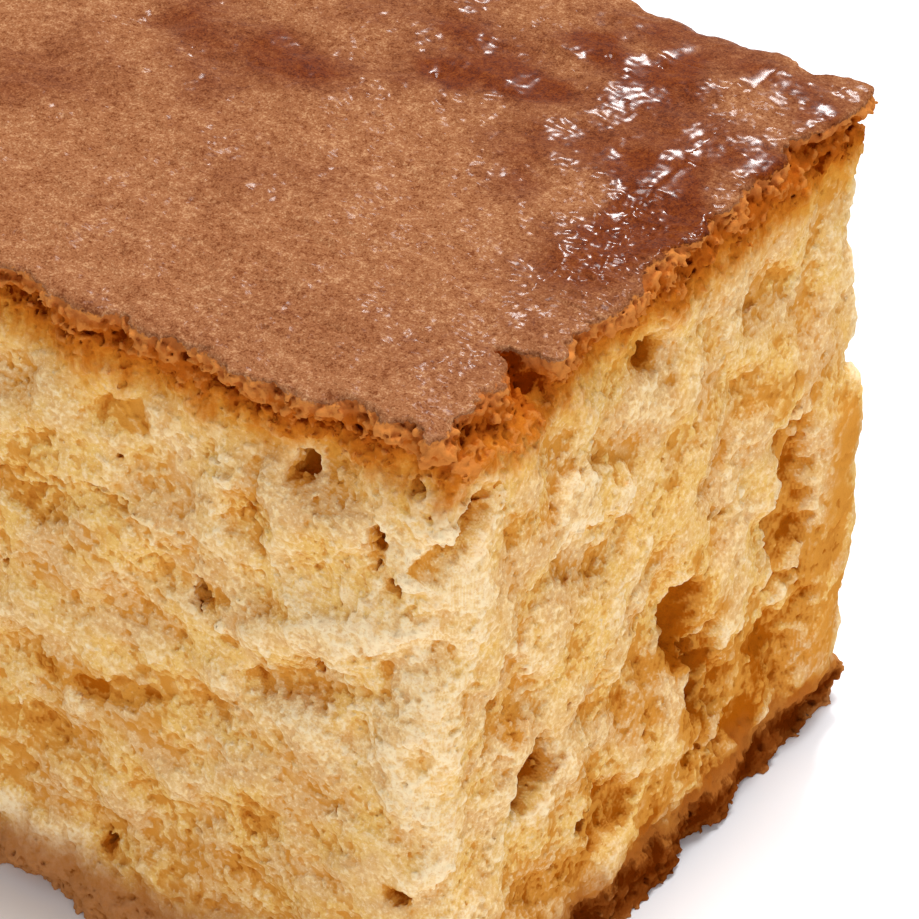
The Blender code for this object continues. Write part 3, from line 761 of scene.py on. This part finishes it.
# Each crumb piece: where it reaches along x and y, its cell size, the sides it shows and its triangles
edgeX, edgeY = half[0] + 0.3, half[1] + 0.3
crumbPieces = (
    ("crumb_corner", (24.6, edgeX), (-edgeY, -16.1), 0.12, ("front", "right"), 198000),
    ("crumb_front_1", (12.8, 25.2), (-edgeY, -16.9), 0.12, ("front",), 198000),
    ("crumb_front_2", (-1.4, 13.4), (-edgeY, -16.9), 0.14, ("front",), 170000),
    ("crumb_front_3", (-16.4, -0.8), (-edgeY, -16.9), 0.16, ("front",), 120000),
    ("crumb_front_4", (-edgeX, -15.8), (-edgeY, -15.8), 0.18, ("front", "far"), 120000),
    ("crumb_right_1", (25.4, edgeX), (-16.7, -4.0), 0.12, ("right",), 198000),
    ("crumb_right_2", (25.4, edgeX), (-4.6, 9.0), 0.14, ("right",), 150000),
    ("crumb_right_3", (24.6, edgeX), (8.4, edgeY), 0.16, ("right", "back"), 140000),
    ("crumb_back_1", (-3.0, 25.2), (16.9, edgeY), 0.22, ("back",), 100000),
    ("crumb_back_2", (-edgeX, -2.4), (15.9, edgeY), 0.22, ("back", "far"), 110000),
    ("crumb_far", (-edgeX, -25.4), (-16.4, 16.5), 0.22, ("far",), 110000),
)


def makeCrumb(name, reachX, reachY, voxel, faces, target):
    xs = np.arange(reachX[0], reachX[1] + 0.01, voxel)
    ys = np.arange(reachY[0], reachY[1] + 0.01, voxel)
    zs = np.arange(-0.25, block["height"] + 0.3, voxel)
    axes = (xs, ys, zs)
    value, under = crumbField(xs, ys, zs, voxel, faces)
    piece, full = meshFromField(name, value, axes, voxel, target)
    keepLargest(piece)
    piece.data.shade_smooth()
    shadeAndToneAttributes(piece, value, under, axes, voxel, faces)
    say(f"{name}: {value.size} cells, {full} faces thinned to {len(piece.data.polygons)}")
    return piece


pieces = [makeCrumb(*plan) for plan in crumbPieces]


# Crust over the middle

middle = {"x": (-26.0, 26.0), "y": (-17.5, 17.5), "step": 0.17}


def makeSlab(name, low, high, step, heightOf, floorOf):
    # a sheet of small squares on the given heights, closed by walls and a plain far side
    countX = round((high[0] - low[0]) / step)
    countY = round((high[1] - low[1]) / step)
    shape = bmesh.new()
    mark = shape.verts.layers.float.new("lowered")
    bmesh.ops.create_grid(shape, x_segments=countX, y_segments=countY, size=0.5)
    border = [edge for edge in shape.edges if edge.is_boundary]
    for item in bmesh.ops.extrude_edge_only(shape, edges=border)["geom"]:
        if isinstance(item, bmesh.types.BMVert):
            item[mark] = 1.0
    border = [edge for edge in shape.edges if edge.is_boundary]
    bmesh.ops.holes_fill(shape, edges=border, sides=0)
    mesh = bpy.data.meshes.new(name)
    bmesh.ops.recalc_face_normals(shape, faces=shape.faces)
    if floorOf < 10.0:
        bmesh.ops.reverse_faces(shape, faces=shape.faces)
    shape.to_mesh(mesh)
    shape.free()
    co = np.empty(3 * len(mesh.vertices), np.float32)
    mesh.vertices.foreach_get("co", co)
    co = co.reshape(-1, 3)
    down = np.empty(len(mesh.vertices), np.float32)
    mesh.attributes["lowered"].data.foreach_get("value", down)
    mesh.attributes.remove(mesh.attributes["lowered"])
    xs = np.linspace(low[0], high[0], countX + 1)
    ys = np.linspace(low[1], high[1], countY + 1)
    i = np.rint((co[:, 0] + 0.5) * countX).astype(int)
    j = np.rint((co[:, 1] + 0.5) * countY).astype(int)
    heights = heightOf(xs, ys)[i, j]
    place = np.column_stack([xs[i], ys[j], np.where(down > 0.5, floorOf, heights)])
    mesh.vertices.foreach_set("co", (place * 0.001).astype(np.float32).ravel())
    mesh.update()
    piece = bpy.data.objects.new(name, mesh)
    bpy.context.scene.collection.objects.link(piece)
    return piece, xs, ys, i, j, place


def toBorder(xs, ys):
    # the distance of each place to the border of its sheet
    fromX = np.minimum(xs - xs[0], xs[-1] - xs)
    fromY = np.minimum(ys - ys[0], ys[-1] - ys)
    return np.minimum(fromX[:, None], fromY[None, :])


def middleSkin(xs, ys):
    return skinHeight(xs, ys) - join["dip"] * ease(1.0 - toBorder(xs, ys) / join["reach"])


crustTop, topXs, topYs, topI, topJ, topPlace = makeSlab(
    "crust_top", (middle["x"][0], middle["y"][0]), (middle["x"][1], middle["y"][1]), middle["step"],
    middleSkin, block["height"] - 4.0,
)
plain = block["height"] - spread(topSheet, coarseXs, coarseYs, topXs, topYs)
relief = (middleSkin(topXs, topYs) - plain)[topI, topJ]
paintAttribute(crustTop, "shadeAndTone", 0.5 - relief)
paintAttribute(crustTop, "dark", sheetAt(darkSheet, coarseXs, coarseYs, topPlace[:, 0], topPlace[:, 1]))
paintAttribute(crustTop, "under", np.where(topPlace[:, 2] < block["height"] - 3.9, 3.0, 0.0))
crustTop.data.shade_smooth()
pieces.append(crustTop)
say(f"crust_top: {len(crustTop.data.polygons)} faces")


# Crust under the middle

underside = {"step": 0.5, "pit": 0.12, "thick": 3.0}


def undersideHeight(xs, ys):
    # flat where it lay in the tin, with shallow pits
    rise = 0.02 + underside["pit"] * ease((smoothSheet(xs, ys, (0.8, 0.8), 61) - 0.6) / 0.9)
    return rise + join["dip"] * ease(1.0 - toBorder(xs, ys))


crustBase, baseXs, baseYs, baseI, baseJ, basePlace = makeSlab(
    "crust_base", (middle["x"][0], middle["y"][0]), (middle["x"][1], middle["y"][1]), underside["step"],
    undersideHeight, underside["thick"],
)
paintAttribute(crustBase, "shadeAndTone", np.full(len(basePlace), 0.5))
paintAttribute(crustBase, "dark", np.zeros(len(basePlace)))
paintAttribute(crustBase, "under", np.full(len(basePlace), 40.0))
crustBase.data.shade_smooth()
pieces.append(crustBase)

for piece in pieces:
    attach(piece, "root")
    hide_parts("sponge_cake")


# Materials

def srgb(text):
    # sRGB hex to linear
    channels = [int(text[k:k + 2], 16) / 255.0 for k in (1, 3, 5)]
    return tuple(c / 12.92 if c <= 0.04045 else ((c + 0.055) / 1.055) ** 2.4 for c in channels) + (1.0,)


def addNode(tree, kind, settings=None, inputs=None):
    # one node, with its settings, and with each input set to a value or linked to a socket
    node = tree.nodes.new(kind)
    for key, setting in (settings or {}).items():
        setattr(node, key, setting)
    for key, item in (inputs or {}).items():
        if isinstance(item, bpy.types.NodeSocket):
            tree.links.new(item, node.inputs[key])
        else:
            node.inputs[key].default_value = item
    return node


bakedSponge = {
    "colours": {
        # The lighter crumb colours carry painted highlight; the amber, deep and darkest band and base browns
        # carry painted shade
        "yellow": "#e8bc6c", "tan": "#dcb078", "highlight": "#efcc92", "creamAndHighlight": "#f5ddb2",
        "amberAndShade": "#cf8c38", "deep": "#a8580c",
        "bandYellow": "#da9a3c", "bandAmber": "#c4721f", "bandRust": "#a85414",
        "bandHighlight": "#cf8540", "bandShade": "#742800", "rimTan": "#b06a38",
        "baseTan": "#a8642a", "baseBrown": "#7c3e12", "baseDarkAndShade": "#5c2000",
        "skinDark": "#703c20", "skinMid": "#925d3b", "skinLight": "#b4845e",
        "glossDark": "#4e1a02", "glossMid": "#692b06", "glossLight": "#7c3c10",
    },
    # noise: size in millimetres, detail, roughness, how far it is squashed upright
    "noises": {
        "patch": (4.5, 3.0, 0.6, 1.0), "mottle": (1.5, 3.0, 0.6, 1.0), "speck": (0.4, 3.0, 0.65, 1.0),
        "wander": (1.1, 4.0, 0.65, 0.4), "grain": (0.13, 2.0, 0.7, 1.0), "fleck": (0.42, 4.0, 0.7, 1.0),
        "blotch": (1.0, 3.0, 0.6, 1.0), "foam": (0.24, 3.0, 0.7, 1.0),
    },
    "cells": (0.5, 1.25),      # mm, the sponge's fine and coarse gas cells
    "wobble": {"size": 0.714, "reach": 0.4},   # mm, how their walls wander
    "roughCrumb": 0.9, "roughBand": 0.5, "roughSkin": 0.6,
    "ior": 1.4, "specular": 0.0,               # the gloss is all in the glaze
    "bump": 0.72, "bumpReach": 0.1, "speckBump": 0.8,
    "glazeRough": 0.18, "glazeIor": 1.4, "glazeLeast": 0.08, "glazeMost": 0.5,
    # where each zone starts and where it is full: mm under the skin, or over the base, or how dark it baked
    "zones": {
        "band": (5.2, 3.0), "foot": (4.2, 2.0), "skin": (0.34, 0.2), "top": (0.2, 0.05), "dark": (0.15, 0.9),
    },
}
# Layers of colour, each over the last: what drives it, from where to where, the colour and its share
# Painted highlight and shade: the crumb turns lighter and cream where it stands out, amber and deep brown in
# hollows and gas cells
crumbLayers = (
    ("patch", 0.38, 0.62, "tan", 1.0), ("shadeAndTone", 0.5, 0.4, "highlight", 1.0), ("shadeAndTone", 0.43, 0.31, "creamAndHighlight", 1.0),
    ("cell1", 0.06, 0.4, "amberAndShade", 0.25), ("cell0", 0.05, 0.36, "amberAndShade", 0.22),
    ("foam", 0.53, 0.64, "creamAndHighlight", 0.5), ("foam", 0.46, 0.35, "amberAndShade", 0.35),
    ("shadeAndTone", 0.505, 0.64, "amberAndShade", 1.0), ("shadeAndTone", 0.64, 0.82, "deep", 1.0),
)
# On the rim, lighter raised crumbs are painted highlight and dark cracks are painted shade
bandLayers = (
    ("under", 7.0, 4.2, "bandYellow", 0.6), ("under", 5.6, 3.4, "bandAmber", 1.0),
    ("under", 4.2, 2.2, "bandRust", 1.0), ("edge", 1.5, 0.4, "rimTan", 0.65),
    ("raisedHighlight", 0.54, 0.68, "bandHighlight", 0.6), ("crackShade", 0.54, 0.7, "bandShade", 1.0),
)
# At the foot the browns are the base's baked colour, turning darkest in its hollows as painted shade
baseLayers = (
    ("up", 6.4, 2.6, "baseTan", 0.9),
    ("foot", 0.34, 0.54, "baseBrown", 1.0), ("foot", 0.54, 0.74, "baseDarkAndShade", 0.9),
)
skinLayers = (("skin", 0.4, 0.49, "skinMid", 1.0), ("skin", 0.51, 0.61, "skinLight", 1.0))
glossLayers = (("skin", 0.42, 0.5, "glossMid", 1.0), ("skin", 0.51, 0.6, "glossLight", 1.0))
zoneDrivers = {"band": "under", "foot": "up", "skin": "edge", "top": "skinDepth", "dark": "gloss"}
# Details that lie in one zone: the driver's name, its source and the zone
zoneDetails = (("raisedHighlight", "level", "band"), ("crackShade", "shadeAndTone", "band"), ("foot", "shadeAndTone", "foot"))
# What breaks each driver up: its name, its source, the source's gain, the noise and the noise's share
brokenUp = (
    ("up", "height", 1000.0, "wander", 3.4), ("under", "under", 1.0, "wander", 5.0),
    ("gloss", "dark", 1.0, "blotch", 0.3),
    ("shadeAndTone", "shadeAndTone", 1.0, "mottle", 0.12), ("shadeAndTone", "shadeAndTone", 1.0, "speck", 0.09),
    ("skin", "grain", 0.42, "fleck", 0.4), ("skin", "skin", 1.0, "mottle", 0.18),
    ("edge", "skinDepth", 1.0, "speck", 0.6),
)


def makeBakedSponge():
    # oven-baked sponge: matte torn foam, pale yellow with cream lips as painted highlight and amber hollows
    # and cells as painted shade, for light that spreads inside sponge; it turns amber and then rust brown
    # towards the skin and the base; the skin is a grained brown, with a thin sugar glaze that glints where it
    # baked dark
    material = bpy.data.materials.new("baked sponge")
    material.use_nodes = True
    tree = material.node_tree
    tree.nodes.clear()
    colours = {key: srgb(value) for key, value in bakedSponge["colours"].items()}
    place = addNode(tree, "ShaderNodeTexCoord").outputs["Object"]
    drive = {}
    for name, (size, detail, roughness, upright) in bakedSponge["noises"].items():
        inputs = {0: place, 1: (1.0, 1.0, upright)}
        along = addNode(tree, "ShaderNodeVectorMath", {"operation": "MULTIPLY"}, inputs).outputs[0]
        inputs = {"Vector": along, "Scale": 1000.0 / size, "Detail": detail, "Roughness": roughness}
        drive[name] = addNode(tree, "ShaderNodeTexNoise", {}, inputs).outputs["Fac"]
    for name in ("shadeAndTone", "under", "dark"):
        drive[name] = addNode(tree, "ShaderNodeAttribute", {"attribute_name": name}).outputs["Fac"]
    drive["skinDepth"] = drive["under"]
    drive["height"] = addNode(tree, "ShaderNodeSeparateXYZ", {}, {0: place}).outputs[2]

    # gas cells of the foam: the distance from their walls, 0 on a wall, for the painted shade inside each
    # cell
    wobble = bakedSponge["wobble"]
    inputs = {"Vector": place, "Scale": 1000.0 / wobble["size"], "Detail": 1.0}
    wander = addNode(tree, "ShaderNodeTexNoise", {}, inputs).outputs["Color"]
    inputs = {0: wander, 1: (0.001 * wobble["reach"],) * 3, 2: place}
    wobbled = addNode(tree, "ShaderNodeVectorMath", {"operation": "MULTIPLY_ADD"}, inputs).outputs[0]
    for k, size in enumerate(bakedSponge["cells"]):
        inputs = {"Vector": wobbled, "Scale": 1000.0 / size}
        cells = addNode(tree, "ShaderNodeTexVoronoi", {"feature": "DISTANCE_TO_EDGE"}, inputs)
        drive[f"cell{k}"] = cells.outputs["Distance"]

    # each driver with the noise that breaks it up; a noise lies about 0.5
    for name, source, gain, noiseName, amount in brokenUp:
        inputs = {0: drive[source], 1: gain}
        scaled = addNode(tree, "ShaderNodeMath", {"operation": "MULTIPLY"}, inputs).outputs[0]
        inputs = {0: scaled, 1: 0.0 if name == "skin" else 0.5 * amount}
        offset = addNode(tree, "ShaderNodeMath", {"operation": "SUBTRACT"}, inputs).outputs[0]
        inputs = {0: drive[noiseName], 1: amount, 2: offset}
        drive[name] = addNode(tree, "ShaderNodeMath", {"operation": "MULTIPLY_ADD"}, inputs).outputs[0]

    # zones of the cake, 0 outside each and 1 well inside it
    zones = {}
    for name, driver in zoneDrivers.items():
        low, high = bakedSponge["zones"][name]
        inputs = {"Value": drive[driver], "From Min": low, "From Max": high}
        zones[name] = addNode(tree, "ShaderNodeMapRange", {}, inputs).outputs[0]

    # raised crumbs and cracks on the rim, painted lighter and darker as highlight and shade, and hollows at
    # the foot, painted darker as shade
    inputs = {0: 1.0, 1: drive["shadeAndTone"]}
    drive["level"] = addNode(tree, "ShaderNodeMath", {"operation": "SUBTRACT"}, inputs).outputs[0]
    for name, source, zone in zoneDetails:
        inputs = {0: drive[source], 1: zones[zone]}
        drive[name] = addNode(tree, "ShaderNodeMath", {"operation": "MULTIPLY"}, inputs).outputs[0]

    def layered(colour, layers):
        for driver, low, high, name, most in layers:
            inputs = {"Value": drive[driver], "From Min": low, "From Max": high, "To Max": most}
            settings = {"interpolation_type": "SMOOTHSTEP"}
            share = addNode(tree, "ShaderNodeMapRange", settings, inputs).outputs[0]
            inputs = {0: share, 6: colour, 7: colours[name]}
            colour = addNode(tree, "ShaderNodeMix", {"data_type": "RGBA"}, inputs).outputs[2]
        return colour

    crumbColour = layered(colours["yellow"], crumbLayers + bandLayers + baseLayers)
    skinColour = layered(colours["skinDark"], skinLayers)
    glossColour = layered(colours["glossDark"], glossLayers)
    inputs = {0: zones["dark"], 6: skinColour, 7: glossColour}
    skinColour = addNode(tree, "ShaderNodeMix", {"data_type": "RGBA"}, inputs).outputs[2]
    inputs = {0: zones["skin"], 6: crumbColour, 7: skinColour}
    colour = addNode(tree, "ShaderNodeMix", {"data_type": "RGBA"}, inputs).outputs[2]

    inputs = {"Value": zones["dark"], "To Min": bakedSponge["glazeLeast"], "To Max": bakedSponge["glazeMost"]}
    glazed = addNode(tree, "ShaderNodeMapRange", {}, inputs).outputs[0]
    inputs = {0: glazed, 1: zones["top"]}
    glaze = addNode(tree, "ShaderNodeMath", {"operation": "MULTIPLY"}, inputs).outputs[0]
    inputs = {"Value": zones["band"], "To Min": bakedSponge["roughCrumb"], "To Max": bakedSponge["roughBand"]}
    crumbRough = addNode(tree, "ShaderNodeMapRange", {}, inputs).outputs[0]
    inputs = {"Value": zones["skin"], "To Min": crumbRough, "To Max": bakedSponge["roughSkin"]}
    roughness = addNode(tree, "ShaderNodeMapRange", {}, inputs).outputs[0]
    inputs = {0: drive["speck"], 1: bakedSponge["speckBump"], 2: drive["foam"]}
    relief = addNode(tree, "ShaderNodeMath", {"operation": "MULTIPLY_ADD"}, inputs).outputs[0]
    inputs = {0: drive["grain"], 1: zones["skin"], 2: relief}
    relief = addNode(tree, "ShaderNodeMath", {"operation": "MULTIPLY_ADD"}, inputs).outputs[0]
    inputs = {"Strength": bakedSponge["bump"], "Distance": bakedSponge["bumpReach"] * 0.001, "Height": relief}
    bump = addNode(tree, "ShaderNodeBump", {}, inputs).outputs[0]
    inputs = {
        "IOR": bakedSponge["ior"], "Specular IOR Level": bakedSponge["specular"], "Coat Weight": glaze,
        "Coat Roughness": bakedSponge["glazeRough"], "Coat IOR": bakedSponge["glazeIor"],
        "Base Color": colour, "Roughness": roughness, "Normal": bump,
    }
    shader = addNode(tree, "ShaderNodeBsdfPrincipled", {}, inputs)
    addNode(tree, "ShaderNodeOutputMaterial", {}, {"Surface": shader.outputs[0]})
    return material


spongeMaterial = makeBakedSponge()
for piece in pieces:
    piece.data.materials.append(spongeMaterial)


# Floor, light and camera

room = {"paper": "#eef0f4", "paperRough": 0.6, "paperReach": 3.0, "daylight": 0.48, "aim": (0.0, 0.0, 0.02)}

# Matte white paper, which takes a soft shadow and no reflection
floorMaterial = bpy.data.materials.new("white paper floor")
floorMaterial.use_nodes = True
floorShader = floorMaterial.node_tree.nodes["Principled BSDF"]
floorShader.inputs["Base Color"].default_value = srgb(room["paper"])
floorShader.inputs["Roughness"].default_value = room["paperRough"]
floorShape = bmesh.new()
bmesh.ops.create_grid(floorShape, x_segments=1, y_segments=1, size=room["paperReach"])
floorMesh = bpy.data.meshes.new("floor")
floorShape.to_mesh(floorMesh)
floorShape.free()
floorMesh.materials.append(floorMaterial)
floor = bpy.data.objects.new("floor", floorMesh)
bpy.context.scene.collection.objects.link(floor)

world = bpy.data.worlds.new("soft white room")
world.use_nodes = True
background = world.node_tree.nodes["Background"]
background.inputs["Color"].default_value = (1.0, 1.0, 1.0, 1.0)
background.inputs["Strength"].default_value = room["daylight"]
bpy.context.scene.world = world

# Place and width in metres, power in watts; all point at the cake's lower middle
lights = {
    "front softbox": ((0.42, -0.46, 0.14), 0.6, 1.5),
    "top softbox": ((0.05, 0.12, 0.70), 0.28, 4.5),
    "back lamp": ((-0.17, 0.50, 0.51), 0.09, 1.8),
}
for name, (place, size, power) in lights.items():
    lamp = bpy.data.lights.new(name, "AREA")
    lamp.shape = "DISK"
    lamp.size = size
    lamp.energy = power
    lampObject = bpy.data.objects.new(name, lamp)
    lampObject.location = place
    ahead = Vector(room["aim"]) - Vector(place)
    lampObject.rotation_euler = ahead.to_track_quat("-Z", "Y").to_euler()
    bpy.context.scene.collection.objects.link(lampObject)

# Angles in degrees, focal length and frame in pixels, and the camera's place from the near edge's foot in mm
view = {"pitch": 36.32, "yaw": 34.63, "focal": 5150.0, "frame": 919.0, "offset": (125.09, -179.62, 205.89)}
cameraData = bpy.data.cameras.new("camera")
cameraData.sensor_width = 36.0
cameraData.lens = view["focal"] / view["frame"] * cameraData.sensor_width
cameraData.clip_start = 0.01
camera = bpy.data.objects.new("camera", cameraData)
camera.location = (Vector((block["edgeX"], block["edgeY"], 0.0)) + Vector(view["offset"])) * 0.001
camera.rotation_euler = (math.radians(90.0 - view["pitch"]), 0.0, math.radians(view["yaw"]))
bpy.context.scene.collection.objects.link(camera)
bpy.context.scene.camera = camera
bpy.context.scene.view_settings.view_transform = "Standard"
